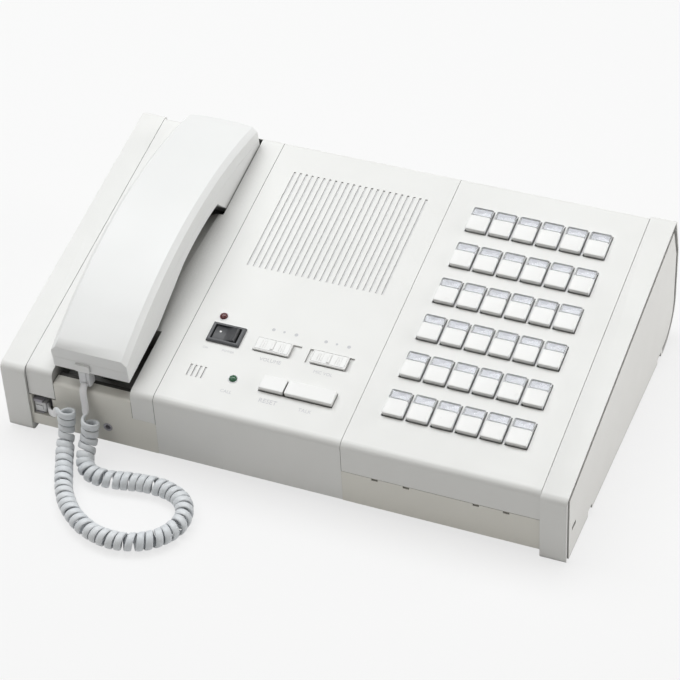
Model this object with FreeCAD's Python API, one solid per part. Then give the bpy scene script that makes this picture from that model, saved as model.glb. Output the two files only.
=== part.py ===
import FreeCAD, Part
import math
import os

Vector = FreeCAD.Vector

# ---------------------------------------------------------------- driving dimensions (mm, degrees)
# Case frame: X to the right, Y to the back, Z up, with the front wall at Y = 0 and the table at Z = 0.
# Panel frame: X the same, Y up the slope from the front edge, Z out of the panel.

# case
case_depth = 217.0           # front wall to rear wall
front_height = 52.3          # front edge of the sloping panel above the table
panel_slope = 11.1           # degrees
floor_clearance = 6.0        # underside of the tray above the table
wall = 2.5                   # wall of every cover and of the tray
seam = 0.3                   # visible gap between two neighbouring mouldings
front_round = 4.5            # rounding of the front top edge
rear_round = 3.0             # rounding of the rear top edge
flange_depth = 8.0           # side flanges that stiffen each cover
rear_wall_height = 60.0      # top of the tray's rear wall

# widths, left to right
cheek_width = 16.5
cradle_width = 87.7
speaker_width = 123.4
key_width_total = 125.9

# end cheeks
cheek_proud = 2.0            # how far the cheeks stand in front of the case
rear_bulge = 9.0             # how far they stand behind it
heel_radius = 28.0           # large rounding of the rear bottom corner
heel_top = 66.0              # height where the rear edge starts to lean forward
cheek_front_round = 5.0
cheek_toe_round = 4.0        # lower front corner
cheek_top_behind = 1.0       # how far the cheek's top edge runs past the case before it leans down
plate_rim = 1.3              # rim of the cheek around the inset side plate
plate_groove = 4.0           # groove between that rim and the plate
plate_thickness = 4.0
plate_foot_gap = 0.4         # plate's lower edge above the table
pry_notch = (8.0, 3.8)       # width and height of the notches in the plate's lower edge
pry_notch_places = (40.8, 30.0)        # from the case's front wall, and from its rear wall
side_slot = (7.5, 2.8)       # length and height of the slot near the plate's front
side_slot_place = (8.7, 18.8)          # its front lower corner: Y, and height above the table
side_cut_depth = 2.0         # depth of that slot and of the notches

# handset bay
bay_width = 53.8
bay_offset = 1.55            # the bay's middle lies this far right of the middle of its cover
bay_depth = 20.0
tab_drop = 21.3              # the tabs beside the bay reach this far below the panel's front edge
lip_drop = 7.3               # front lip of the bay, below the panel's front edge
lip_depth = 8.0
saddle_front = 50.0          # raised middle of the bay, where fingers reach under the handset
saddle_ear_gap = 7.0         # from the saddle to the handset's ear block
dish_half_width = 24.0       # finger hollow along the saddle, at its rear end
dish_front_depth = 3.0
dish_rear_depth = 6.0
mouth_rest_sides = 16
rib_setback = (8.0, 5.0)     # ends of the rests inside the ear block's two ends
rest_gap = 0.3               # running gap under everything that rests or slides

# handset
handset_side_gap = 1.1       # mean gap to the borders of the bay
handset_offset = 0.6         # it rests this far right of the bay's middle
handset_wall = 2.4
handset_edge_bevel = 3.2
handset_front = 3.5          # front end of the handset, up the slope
handset_rear_gap = 4.1       # from its rear end to the rear edge of the panel
handset_front_top = 22.0     # heights of its back above the panel: front end, crown and rear end
handset_crown = 36.5
handset_rear_top = 14.0
handset_front_rake = 2.0     # the top of the front end leans this far back
handset_rear_bow = 3.0       # the rear end bulges this much in plan
handset_rear_trim = 0.1      # the bulge ends this far short of the handset's full length
crown_forward = 12.8         # the crown stands this far before the middle of the handset
parting_heights = (12.5, 24.5, 1.5)    # parting line above the panel: front, crown and rear
parting_forward = 14.9       # the highest point of that line stands this far before the middle
mouth_block_length = 45.0
mouth_block_low = (5.0, 6.0)           # its underside above the panel, at its front and rear end
grip_start = (89.5, 16.1)    # underside of the grip: distance from the front end, and height
grip_middle_height = 16.7
ear_step = (10.0, 13.2)      # rear end of the grip: distance before the ear block, and height
ear_depth = 12.0             # how far the ear block reaches below the panel
ear_length = 60.0
ear_front_slant = (1.0, 8.0)           # corner in the ear block's front face
ear_front_foot = 5.0
ear_rear_slant = 1.0
ear_slot = (14.0, 1.8)       # length and width of the sound slots in the ear block
ear_slot_pitch = 5.0
mouth_slot = (6.0, 1.8)
mouth_radius = 16.0
mouth_reach = 3.0            # how far the mouthpiece reaches below the panel
mouth_place = 32.0           # its centre up the slope

# hook switch plunger
plunger_radius = 3.5
plunger_travel = 3.0
plunger_inset = 29.0         # its place before the rear end of the handset
plunger_stop = 1.2           # thickness of its stop plate

# speaker grille and speaker
grille_slots = 23
grille_pitch = 4.155
grille_slot_width = 1.5
grille_slot_length = 82.0
grille_place = (61.9, 156.0)       # its middle from the cover's left edge, and up the slope
speaker_radius = 38.5
speaker_depth = 32.0
speaker_rim = (9.0, 3.0)     # width and thickness of the rim
basket_sides = 12
rim_sides = 24
magnet_radius = 16.0
magnet_height = 12.0

# controls, all placed from the left edge of the speaker cover and up the slope
rocker_bezel = (22.1, 15.0)
bezel_height = 2.0
bezel_chamfer = 0.8
bezel_flange = (1.5, 1.0)    # its rim outside the switch body, at the ends and along the sides
switch_body_wall = (0.8, 1.0)
switch_body_depth = 14.0     # below the panel
switch_well_depth = 11.0     # room of the rocker below the panel
rocker_place = (25.3, 58.4)
rocker_tilt = 10.0
rocker_pivot_drop = 2.0      # its axis below the panel
rocker_middle = 1.0          # the middle of its top above the panel
rocker_depth = 7.0
rocker_play = (0.3, 0.2)     # between rocker and switch body, at the ends and along the sides
lamp_radius = 2.5
lamp_sides = 12
lamp_height = 1.8            # end of the lamps above the panel
red_lamp = (17.9, 71.9)
green_lamp = (42.5, 27.8)
mic_slots = 4
mic_slot_pitch = 3.2
mic_slot_length = 9.0
mic_slot_width = 1.3
microphone = (18.1, 27.3)
knob_size = (23.6, 10.3)
knob_height = 1.7
knob_ridge = 1.1             # half the width of the grip across it
knob_ridge_rise = 0.8
knob_ridge_inset = 0.8
knob_chamfer = 0.5
knob_step = 2.6              # travel from one position of a slide switch to the next
left_knob = (57.3, 57.4)     # stands at its left stop
right_knob = (94.8, 57.4)    # stands in the middle
action_keys = (61.0, 24.0)   # left front corner of the reset key
action_key_depth = 10.6
reset_key_width = 16.1
talk_key_width = 31.4
action_key_height = 3.4

# station keys
key_columns = 6
key_rows = 6
key_pitch_x = 15.6
key_width = 13.6
key_depth = 19.4
key_cap_depth = 12.0         # the cap; the window behind it fills the rest
key_height = 3.2             # cap above the panel
window_height = 2.3          # window above the panel
window_thickness = 1.5
key_chamfer = 0.6
key_left_margin = 16.5       # from the cover's left edge to the first column
first_key_y = 27.3           # front edge of the first row
key_rear_margin = 23.4       # from the last row to the rear edge of the panel
key_travel = 2.5
key_gap = 0.35               # between a key and its aperture
stem_side = 4.0              # stem of a slide knob
stem_length = 9.0

# board
board_drop = 12.6            # component side of the board below the panel
board_thickness = 1.6
switch_side = 8.0            # housing of each key switch
switch_top = 10.0            # top of the housings below the panel
slide_switch_top = 6.0
part_foot = 0.2              # the parts reach this far into the board
mic_radius = 4.8
mic_sides = 12
boss_side = 6.0
boss_left_shift = (25.0, 20.0)         # the speaker cover's left bosses, front and back, clear the rocker
board_margin = 10.0

# jack pocket and cord
pocket_inset = 1.6           # from the left cheek
pocket_width = 14.6
pocket_floor = 14.6          # lower edge of the pocket above the table
pocket_depth = 13.0
plug_size = (7.6, 6.6, 7.65)       # length, thickness and width of a modular plug
base_plug_place = (2.0, 1.7, 1.0)  # from the left cheek, the front face and the pocket's floor
handset_plug_place = (-5.1, 1.2)   # its middle from the handset's middle and front end
handset_plug_top = 11.7            # above the panel's front edge
handset_plug_length = 16.5
handset_lead_height = 1.9    # the lead's middle above the plug's lower end
plug_clearance = 0.05
socket_wall = 1.2
coil_radius = 6.0
coil_sides = 5
lead_radius = 1.6
lead_sides = 4

# rear cable outlet and underside
outlet_size = (62.0, 12.0)
outlet_height = 20.0
screw_hole_radius = 3.0
pry_slot_size = (4.0, 1.6)   # width and height of the slots along the key cover's front edge
pry_slot_shares = (0.17, 0.33, 0.68, 0.83)  # their places across the key cover
closed_seam = 0.05           # gap where the front walls of tray and covers meet flush
screw_inset = 14.0
front_hole_place = (70.3, 18.2)    # small round hole in the front wall: X, and height above the table
front_hole_radius = 2.2

# ---------------------------------------------------------------- worked out from the values above
slope = math.radians(panel_slope)
case_width = 2 * cheek_width + cradle_width + speaker_width + key_width_total
cheek_inner_left = cheek_width
seam_cradle = cheek_width + cradle_width
seam_speaker = seam_cradle + speaker_width
cheek_inner_right = seam_speaker + key_width_total
panel_length = case_depth / math.cos(slope)
bay_centre = (cheek_inner_left + seam_cradle) / 2 + bay_offset
bay_left = bay_centre - bay_width / 2
bay_right = bay_centre + bay_width / 2
rear_edge = case_depth + rear_bulge
depth_middle = (rear_edge - cheek_proud) / 2
handset_end = panel_length - handset_rear_gap
handset_length = handset_end - handset_front
handset_width = bay_width - 2 * handset_side_gap
handset_centre = bay_centre + handset_offset
tab_height = front_height - tab_drop
lip_height = front_height - lip_drop
ear_front = handset_end - ear_length
saddle_rear = ear_front - saddle_ear_gap
plunger_place = handset_end - plunger_inset
first_key_x = seam_speaker + key_left_margin
key_rows_length = panel_length - first_key_y - key_rear_margin - key_depth
key_pitch_y = key_rows_length / (key_rows - 1)


def on_speaker_cover(place):
    """Turns a place on the speaker cover into X and the way up the slope."""
    return seam_cradle + place[0], place[1]


grille_centre = on_speaker_cover(grille_place)
rocker_centre = on_speaker_cover(rocker_place)
red_lamp_place = on_speaker_cover(red_lamp)
green_lamp_place = on_speaker_cover(green_lamp)
mic_place = on_speaker_cover(microphone)
left_knob_place = on_speaker_cover(left_knob)
right_knob_place = on_speaker_cover(right_knob)
action_keys_left, action_keys_front = on_speaker_cover(action_keys)


# ---------------------------------------------------------------- helpers
def panel_height(y, drop=0.0):
    """Height above the table of the surface that lies drop below the panel, at depth y."""
    return front_height + y * math.tan(slope) - drop / math.cos(slope)


def block(x0, x1, y0, y1, z0, z1):
    return Part.makeBox(x1 - x0, y1 - y0, z1 - z0, Vector(x0, y0, z0))


def centred_block(x, y, width, depth, z0, z1):
    return block(x - width / 2, x + width / 2, y - depth / 2, y + depth / 2, z0, z1)


def side_profile(points, x0, x1):
    """Solid with the outline points (y, z), running from x0 to x1."""
    corners = [Vector(x0, y, z) for y, z in points]
    return Part.Face(Part.makePolygon(corners + corners[:1])).extrude(Vector(x1 - x0, 0, 0))


def arc_between(start, middle, end):
    return Part.Arc(start, middle, end).toShape()


def on_panel(shape):
    """Moves a shape from the panel frame to the case frame."""
    placed = shape.copy()
    placed.rotate(Vector(0, 0, 0), Vector(1, 0, 0), panel_slope)
    placed.translate(Vector(0, 0, front_height))
    return placed


def peg(x, y, radius, z0, z1):
    return Part.makeCylinder(radius, z1 - z0, Vector(x, y, z0))


def prism(x, y, radius, sides, z0, z1):
    """Upright prism with a regular polygon as its base."""
    base = Part.Face(ring(Vector(x, y, z0), Vector(0, 0, 1), radius, sides))
    return base.extrude(Vector(0, 0, z1 - z0))


def ring(centre, direction, radius, sides):
    """Closed polygon around centre, square to direction."""
    across = Vector(0, 0, 1) if abs(direction.z) < 0.9 else Vector(1, 0, 0)
    u = direction.cross(across).normalize() * radius
    v = direction.cross(u).normalize() * radius
    corners = []
    for index in range(sides):
        angle = 2 * math.pi * index / sides
        corners.append(centre + u * math.cos(angle) + v * math.sin(angle))
    return Part.makePolygon(corners + corners[:1])


def slot_row(count, pitch, middle, length, width, z0, z1):
    """Cutters of a row of slots along Y, side by side in X and centred on middle."""
    first = middle[0] - pitch * (count - 1) / 2
    y0 = middle[1] - length / 2
    cutters = []
    for index in range(count):
        x = first + index * pitch
        cutters.append(block(x - width / 2, x + width / 2, y0, y0 + length, z0, z1))
    return cutters


def edges_along_x(shape, y, z, tolerance=0.05):
    """The edges parallel to X through the point y, z."""
    found = []
    for edge in shape.Edges:
        ends = [vertex.Point for vertex in edge.Vertexes]
        if len(ends) == 2 and all(abs(p.y - y) < tolerance and abs(p.z - z) < tolerance for p in ends):
            found.append(edge)
    return found


def rounded_along_x(shape, y, z, radius):
    return shape.makeFillet(radius, edges_along_x(shape, y, z))


def top_edges(shape, z):
    """Straight edges that lie at the height z."""
    return [e for e in shape.Edges if all(abs(v.Point.z - z) < 1e-6 for v in e.Vertexes)]


def one_solid(shape):
    return shape.removeSplitter().Solids[0]


# ---------------------------------------------------------------- top covers
def cover_arch(x0, x1, front_low, rear_low):
    """A cover's front skirt, sloping top and rear skirt in one, with a flange down each side."""
    arch = side_profile(
        [
            (0, front_low),
            (0, panel_height(0)),
            (case_depth, panel_height(case_depth)),
            (case_depth, rear_low),
            (case_depth - wall, rear_low),
            (case_depth - wall, panel_height(case_depth - wall, wall)),
            (wall, panel_height(wall, wall)),
            (wall, front_low),
        ],
        x0,
        x1,
    )
    arch = rounded_along_x(arch, 0, panel_height(0), front_round)
    arch = rounded_along_x(arch, case_depth, panel_height(case_depth), rear_round)
    flanges = [cover_flange(x0), cover_flange(x1 - wall)]
    return arch.fuse(flanges)


def cover_flange(x):
    y0 = wall - wall / 5
    y1 = case_depth - wall + wall / 5
    return side_profile(
        [
            (y0, panel_height(y0, wall / 2)),
            (y1, panel_height(y1, wall / 2)),
            (y1, panel_height(y1, flange_depth)),
            (y0, panel_height(y0, flange_depth)),
        ],
        x,
        x + wall,
    )


def cover_boss(x, y):
    """A square post under a cover, down to the board."""
    half = boss_side / 2
    return on_panel(block(x - half, x + half, y - half, y + half, -board_drop, -wall / 2))


def grip_dish():
    """Cutter of the hollow along the saddle, wider and deeper towards the rear."""
    lift = (dish_half_width ** 2 - dish_rear_depth ** 2) / (2 * dish_rear_depth)
    front = saddle_front - wall
    length = saddle_rear + wall - front
    axis_start = Vector(bay_centre, front, lift)
    return Part.makeCone(lift + dish_front_depth, lift + dish_rear_depth, length, axis_start, Vector(0, 1, 0))


def saddle():
    """Raised middle of the bay, level with the borders beside it and hollow below."""
    half = bay_width / 2 + wall / 2
    low = bay_depth + wall / 2
    form = block(bay_centre - half, bay_centre + half, saddle_front, saddle_rear, -low, 0)
    return form.cut(saddle_room())


def saddle_room():
    y0 = saddle_front + wall
    y1 = saddle_rear - wall
    top = dish_rear_depth + wall
    return block(bay_left, bay_right, y0, y1, -bay_depth - 2 * wall, -top)


def bay_tub():
    """Walls and floor of the handset bay, below the panel."""
    rear = case_depth - wall / 2
    low = bay_depth + wall
    behind_wall = wall + rest_gap
    wall_outline = [
        (0, panel_height(0, front_round)),
        (front_round, panel_height(front_round, wall / 2)),
        (rear, panel_height(rear, wall / 2)),
        (rear, panel_height(rear, low)),
        (behind_wall, panel_height(behind_wall, low)),
        (behind_wall, tab_height),
        (0, tab_height),
    ]
    left = side_profile(wall_outline, bay_left - wall, bay_left)
    right = side_profile(wall_outline, bay_right, bay_right + wall)
    front = lip_depth + rest_gap
    floor_outline = [
        (front, panel_height(front, low)),
        (front, lip_height),
        (front + wall, lip_height),
        (front + wall, panel_height(front + wall, bay_depth)),
        (rear, panel_height(rear, bay_depth)),
        (rear, panel_height(rear, low)),
    ]
    floor = side_profile(floor_outline, bay_left - wall / 2, bay_right + wall / 2)
    return left.fuse([right, floor])


def bay_rests():
    """Two ribs under the ear block and a ring under the mouthpiece, on the floor of the bay."""
    rib_top = -(ear_depth + rest_gap)
    rib_front = ear_front + rib_setback[0]
    rib_back = handset_end - rib_setback[1]
    rib_offset = handset_width / 4
    middle = handset_centre
    root = -(bay_depth + wall / 2)
    ribs = []
    for x in (middle - rib_offset, middle + rib_offset):
        ribs.append(block(x - wall, x + wall, rib_front, rib_back, root, rib_top))
    ring_top = -(mouth_reach + rest_gap)
    outer = prism(middle, mouth_place, mouth_radius - wall, mouth_rest_sides, root, ring_top)
    inner = prism(middle, mouth_place, mouth_radius - 2 * wall, mouth_rest_sides, -bay_depth, ring_top)
    return ribs + [outer.cut(inner)]


def cradle_cover():
    x0 = cheek_inner_left + seam
    x1 = seam_cradle - seam / 2
    arch = cover_arch(x0, x1, tab_height, rear_wall_height + seam)
    bay = block(bay_left, bay_right, -1, case_depth - wall, 0, 2 * front_height + case_depth)
    cover = arch.cut(bay)
    tub = bay_tub().cut(on_panel(saddle_room()))
    cover = cover.fuse([tub, on_panel(saddle())] + [on_panel(rest) for rest in bay_rests()])
    cover = cover.cut(on_panel(grip_dish()))
    hole = peg(bay_centre, plunger_place, plunger_radius + 0.15, -bay_depth - 2 * wall, -bay_depth + wall)
    return one_solid(cover.cut(on_panel(hole)))


def grille_cutters():
    size = (grille_slot_length, grille_slot_width)
    return slot_row(grille_slots, grille_pitch, grille_centre, *size, -2 * wall, wall)


def mic_cutters():
    return slot_row(mic_slots, mic_slot_pitch, mic_place, mic_slot_length, mic_slot_width, -2 * wall, wall)


def knob_travel(place):
    """Lowest and highest displacement of a slide knob from where it stands."""
    if place is left_knob_place:
        return 0.0, 2 * knob_step
    return -knob_step, knob_step


def knob_recess(place):
    """Shallow recess of a slide knob, and the slot for its stem."""
    low, high = knob_travel(place)
    x0 = place[0] - knob_size[0] / 2 + low - key_gap
    x1 = place[0] + knob_size[0] / 2 + high + key_gap
    y0 = place[1] - knob_size[1] / 2 - key_gap
    y1 = place[1] + knob_size[1] / 2 + key_gap
    recess = block(x0, x1, y0, y1, -wall / 2, wall)
    half = stem_side / 2 + key_gap
    left = place[0] + low - half
    right = place[0] + high + half
    slot = block(left, right, place[1] - half, place[1] + half, -2 * wall, 0)
    return [recess, slot]


def rocker_body_size():
    """Part of the rocker switch that passes through the cover."""
    return rocker_bezel[0] - 2 * bezel_flange[0], rocker_bezel[1] - 2 * bezel_flange[1]


def rocker_cutout():
    width, depth = rocker_body_size()
    x0 = rocker_centre[0] - width / 2 - rest_gap / 2
    y0 = rocker_centre[1] - depth / 2 - rest_gap / 2
    return block(x0, x0 + width + rest_gap, y0, y0 + depth + rest_gap, -2 * wall, wall)


def action_key_aperture():
    x1 = action_keys_left + reset_key_width + talk_key_width + 2 * key_gap
    y1 = action_keys_front + action_key_depth
    return block(
        action_keys_left - key_gap, x1, action_keys_front - key_gap, y1 + key_gap, -2 * wall, wall
    )


def speaker_cover():
    x0 = seam_cradle + seam / 2
    x1 = seam_speaker - seam / 2
    cover = cover_arch(x0, x1, floor_clearance + rest_gap, rear_wall_height + seam)
    cover = cover.fuse([cover_boss(x, y) for x, y in middle_boss_places()])
    cutters = grille_cutters() + mic_cutters()
    cutters += knob_recess(left_knob_place) + knob_recess(right_knob_place)
    cutters += [rocker_cutout(), action_key_aperture()]
    for place in (red_lamp_place, green_lamp_place):
        cutters.append(peg(place[0], place[1], lamp_radius + 0.1, -2 * wall, wall))
    return one_solid(cover.cut([on_panel(cutter) for cutter in cutters]))


def station_key_corner(column, row):
    return first_key_x + column * key_pitch_x, first_key_y + row * key_pitch_y


def station_key_places():
    """Left front corner of every station key, from the front row to the rear row."""
    return [station_key_corner(column, row) for row in range(key_rows) for column in range(key_columns)]


def key_aperture(x, y):
    return block(x - key_gap, x + key_width + key_gap, y - key_gap, y + key_depth + key_gap, -2 * wall, wall)


def key_cover():
    x0 = seam_speaker + seam / 2
    x1 = cheek_inner_right - seam
    cover = cover_arch(x0, x1, tray_front_height() + seam, rear_wall_height + seam)
    cover = cover.fuse([cover_boss(x, y) for x, y in right_boss_places()])
    cutters = [on_panel(key_aperture(x, y)) for x, y in station_key_places()]
    return one_solid(cover.cut(cutters))


# ---------------------------------------------------------------- board under the covers
def board_left():
    return seam_cradle + board_margin - wall


def board_right():
    return cheek_inner_right - board_margin + wall


def controls_back():
    """Rear edge of the board's part under the controls."""
    return grille_centre[1] - speaker_radius - 4 * wall - board_margin / 2


def middle_boss_places():
    left = board_left() + boss_side
    right = seam_speaker - 1.25 * boss_side
    front = board_margin + 0.75 * boss_side
    back = controls_back() - 0.75 * boss_side
    front_shift, back_shift = boss_left_shift
    return [(left + front_shift, front), (right, front), (left + back_shift, back), (right, back)]


def right_boss_places():
    left = first_key_x - boss_side
    right = board_right() - 0.75 * boss_side
    front = board_margin + 0.75 * boss_side
    back = panel_length - board_margin - 0.75 * boss_side
    return [(left, front), (right, front), (left, back), (right, back)]


def switch_housing(x, y):
    """Key switch on the board, which a fully pressed key reaches."""
    half = switch_side / 2
    return block(x - half, x + half, y - half, y + half, -board_drop - part_foot, -switch_top)


def slide_switch_body(place):
    low, high = knob_travel(place)
    length = 2 * knob_step + 2 * stem_side
    middle = place[0] + (low + high) / 2
    y = place[1]
    half = stem_side / 2 + key_gap
    body = centred_block(middle, y, length, 2 * stem_side, -board_drop - part_foot, -slide_switch_top)
    groove = block(place[0] + low - half, place[0] + high + half, y - half, y + half, -board_drop, 0)
    return body.cut(groove)


def action_key_centres():
    y = action_keys_front + action_key_depth / 2
    reset = (action_keys_left + reset_key_width / 2, y)
    talk = (action_keys_left + reset_key_width + key_gap * 2 + talk_key_width / 2, y)
    return reset, talk


def main_board():
    low = -board_drop - board_thickness
    back = panel_length - board_margin
    left_part = block(board_left(), seam_speaker, board_margin, controls_back(), low, -board_drop)
    right_part = block(seam_speaker, board_right(), board_margin, back, low, -board_drop)
    board = left_part.fuse(right_part)
    parts = []
    for x, y in station_key_places():
        parts.append(switch_housing(x + key_width / 2, y + key_depth / 2))
    for x, y in action_key_centres():
        parts.append(switch_housing(x, y))
    parts.append(slide_switch_body(left_knob_place))
    parts.append(slide_switch_body(right_knob_place))
    parts.append(prism(*mic_place, mic_radius, mic_sides, -board_drop - part_foot, -wall - rest_gap))
    width, depth = rocker_body_size()
    opening = block(
        rocker_centre[0] - width / 2 - wall / 2,
        rocker_centre[0] + width / 2 + wall / 2,
        rocker_centre[1] - depth / 2 - wall / 2,
        rocker_centre[1] + depth / 2 + wall / 2,
        low - 1,
        0,
    )
    return one_solid(on_panel(board.fuse(parts).cut(opening)))


# ---------------------------------------------------------------- base tray
def tray_front_height():
    return tab_height - seam * 3


def jack_pocket(grow):
    """The pocket's room, or with grow its walls' outer form."""
    x0 = cheek_inner_left + pocket_inset
    front = -wall if grow == 0 else 0.0
    top = tray_front_height() + wall if grow == 0 else panel_height(wall, bay_depth + wall) - rest_gap
    return block(
        x0 - grow, x0 + pocket_width + grow, front, pocket_depth + grow, pocket_floor - grow, top
    )


def base_tray():
    x0 = cheek_inner_left
    x1 = cheek_inner_right
    low = floor_clearance
    front_top = tray_front_height()
    floor = block(x0, x1, 0, case_depth, low, low + wall)
    front = block(x0, x1, 0, wall, low, front_top)
    rear = block(x0, x1, case_depth - wall, case_depth, low, rear_wall_height)
    side_outline = [(0, low), (0, front_top - seam), (case_depth, rear_wall_height), (case_depth, low)]
    sides = [side_profile(side_outline, x0, x0 + wall), side_profile(side_outline, x1 - wall, x1)]
    lip_left = bay_left + rest_gap
    lip_right = bay_right - rest_gap
    lip_wall = block(lip_left, lip_right, 0, wall, front_top - wall, lip_height)
    ledge = block(lip_left, lip_right, 0, lip_depth, lip_height - wall, lip_height)
    lip = lip_wall.fuse(ledge).removeSplitter()
    lip = rounded_along_x(lip, 0, lip_height, wall - 0.3)
    tab_foot_top = tab_height - closed_seam
    tab_foot = block(lip_right, seam_cradle - seam / 2, 0, wall, front_top - wall, tab_foot_top)
    inner_front = block(
        seam_cradle - wall, seam_speaker + wall, wall + rest_gap, 2 * wall + rest_gap, low, front_top
    )
    tray = floor.fuse([front, rear, lip, tab_foot, inner_front] + sides)
    skirt_left = seam_cradle + seam / 2 - closed_seam
    skirt_right = seam_speaker - seam / 2 + closed_seam
    skirt_room = block(skirt_left, skirt_right, -1, wall + rest_gap, 0, 2 * front_top)
    tray = tray.cut(skirt_room)
    shell = jack_pocket(1.5).cut(jack_pocket(0))
    tray = tray.cut(jack_pocket(0)).fuse(shell)
    middle = (seam_cradle + seam_speaker) / 2
    outlet = block(
        middle - outlet_size[0] / 2,
        middle + outlet_size[0] / 2,
        case_depth - 2 * wall,
        case_depth + wall,
        outlet_height,
        outlet_height + outlet_size[1],
    )
    cutters = [pry_slot(x) for x in cover_notch_places()]
    cutters += [peg(x, y, screw_hole_radius, 0, 2 * low) for x, y in screw_places()]
    x, z = front_hole_place
    cutters.append(Part.makeCylinder(front_hole_radius, 2 * wall, Vector(x, -wall / 2, z), Vector(0, 1, 0)))
    return one_solid(tray.cut(cutters + [outlet]))


def screw_places():
    xs = (cheek_inner_left + screw_inset, cheek_inner_right - screw_inset)
    ys = (screw_inset + pocket_depth, case_depth - screw_inset)
    return [(x, y) for x in xs for y in ys]


def cover_notch_places():
    width = cheek_inner_right - seam_speaker
    return [seam_speaker + width * share for share in pry_slot_shares]


def pry_slot(x):
    """Small slot in the top of the tray's front wall, to lift the cover with."""
    top = tray_front_height()
    width, height = pry_slot_size
    return block(x - width / 2, x + width / 2, -wall, wall / 2, top - height, top + wall)


# ---------------------------------------------------------------- end cheeks
def cheek_outline(inset, x):
    """Side outline of a cheek, moved inwards by inset except along the table."""
    front = -cheek_proud + inset
    back = rear_edge - inset
    lean_y = case_depth + cheek_top_behind - inset
    heel_y = rear_edge - heel_radius
    heel = heel_radius - inset
    low = 0.0
    centre = Vector(x, heel_y, heel_radius)
    diagonal = heel * math.sqrt(0.5)
    points = [
        Vector(x, front, low),
        Vector(x, front, panel_height(front, inset)),
        Vector(x, lean_y, panel_height(lean_y, inset)),
        Vector(x, back, heel_top),
        Vector(x, back, heel_radius),
    ]
    edges = [Part.LineSegment(a, b).toShape() for a, b in zip(points, points[1:])]
    heel_end = Vector(x, heel_y, heel_radius - heel)
    edges.append(arc_between(points[-1], centre + Vector(0, diagonal, -diagonal), heel_end))
    last = heel_end
    if inset > 0:
        last = Vector(x, heel_y, low)
        edges.append(Part.LineSegment(heel_end, last).toShape())
    edges.append(Part.LineSegment(last, points[0]).toShape())
    return Part.Face(Part.Wire(edges))


def cheek(side):
    """side is -1 for the left cheek and 1 for the right one."""
    x = 0.0 if side < 0 else cheek_inner_right
    body = cheek_outline(0.0, x).extrude(Vector(cheek_width, 0, 0))
    front = -cheek_proud
    body = rounded_along_x(body, front, panel_height(front), cheek_front_round)
    body = rounded_along_x(body, front, 0, cheek_toe_round)
    lean_y = case_depth + cheek_top_behind
    body = rounded_along_x(body, lean_y, panel_height(lean_y), rear_round)
    pocket_x = x if side < 0 else x + cheek_width - plate_thickness
    pocket = cheek_outline(plate_rim, pocket_x).extrude(Vector(plate_thickness, 0, 0))
    return one_solid(body.cut(pocket))


def side_plate(side):
    x = 0.0 if side < 0 else case_width - plate_thickness
    inset = plate_rim + plate_groove
    plate = cheek_outline(inset, x).extrude(Vector(plate_thickness, 0, 0))
    outer = x if side < 0 else x + plate_thickness - side_cut_depth
    inner = outer + side_cut_depth
    cutters = [block(x, x + plate_thickness, -rear_bulge, case_depth, -wall, plate_foot_gap)]
    y, z = side_slot_place
    cutters.append(block(outer, inner, y, y + side_slot[0], z, z + side_slot[1]))
    width, rise = pry_notch
    front_place, rear_place = pry_notch_places
    for y in (front_place, case_depth - rear_place):
        cutters.append(block(outer, inner, y, y + width, -wall, plate_foot_gap + rise))
    return one_solid(plate.cut(cutters))


# ---------------------------------------------------------------- handset, in the panel frame
def handset_outline(inset):
    """Side outline of the handset, an arched slab with a deeper block at either end."""
    front = handset_front + inset
    back = handset_end - inset
    ear_face = ear_front + inset
    low = -ear_depth + inset
    crown = (handset_front + handset_end) / 2 - crown_forward
    top_front = Vector(0, front + handset_front_rake, handset_front_top - inset)
    top_back = Vector(0, back, handset_rear_top - inset)
    top = arc_between(top_front, Vector(0, crown, handset_crown - inset), top_back)
    notch = Vector(0, ear_face - ear_step[0], ear_step[1] + inset)
    grip_front = Vector(0, handset_front + grip_start[0], grip_start[1] + inset)
    grip_mid = Vector(0, (notch.y + grip_front.y) / 2, grip_middle_height + inset)
    grip = arc_between(notch, grip_mid, grip_front)
    slant_y, slant_z = ear_front_slant
    points = [
        grip_front,
        Vector(0, handset_front + mouth_block_length, mouth_block_low[1] + inset),
        Vector(0, front, mouth_block_low[0] + inset),
        top_front,
    ]
    rear_points = [
        top_back,
        Vector(0, back - ear_rear_slant, low),
        Vector(0, ear_face + ear_front_foot, low),
        Vector(0, ear_face + slant_y, low + slant_z),
        notch,
    ]
    edges = [top, grip]
    for row in (points, rear_points):
        edges += [Part.LineSegment(a, b).toShape() for a, b in zip(row, row[1:])]
    return Part.Face(Part.Wire(Part.__sortEdges__(edges)))


def handset_block(inset):
    half = handset_width / 2 - inset
    face = handset_outline(inset)
    face.translate(Vector(handset_centre - half, 0, 0))
    return face.extrude(Vector(2 * half, 0, 0))


def handset_rear_form():
    """Room behind the slightly bowed rear end of the handset."""
    bow = handset_rear_bow
    half = handset_width / 2
    radius = (half * half + bow * bow) / (2 * bow)
    centre_y = handset_end - handset_rear_trim - radius
    keep = peg(handset_centre, centre_y, radius, -handset_length, handset_length)
    behind = block(
        handset_centre - handset_width,
        handset_centre + handset_width,
        handset_end - handset_width / 2,
        handset_end + handset_width,
        -handset_length,
        handset_length,
    )
    return behind.cut(keep)


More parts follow.
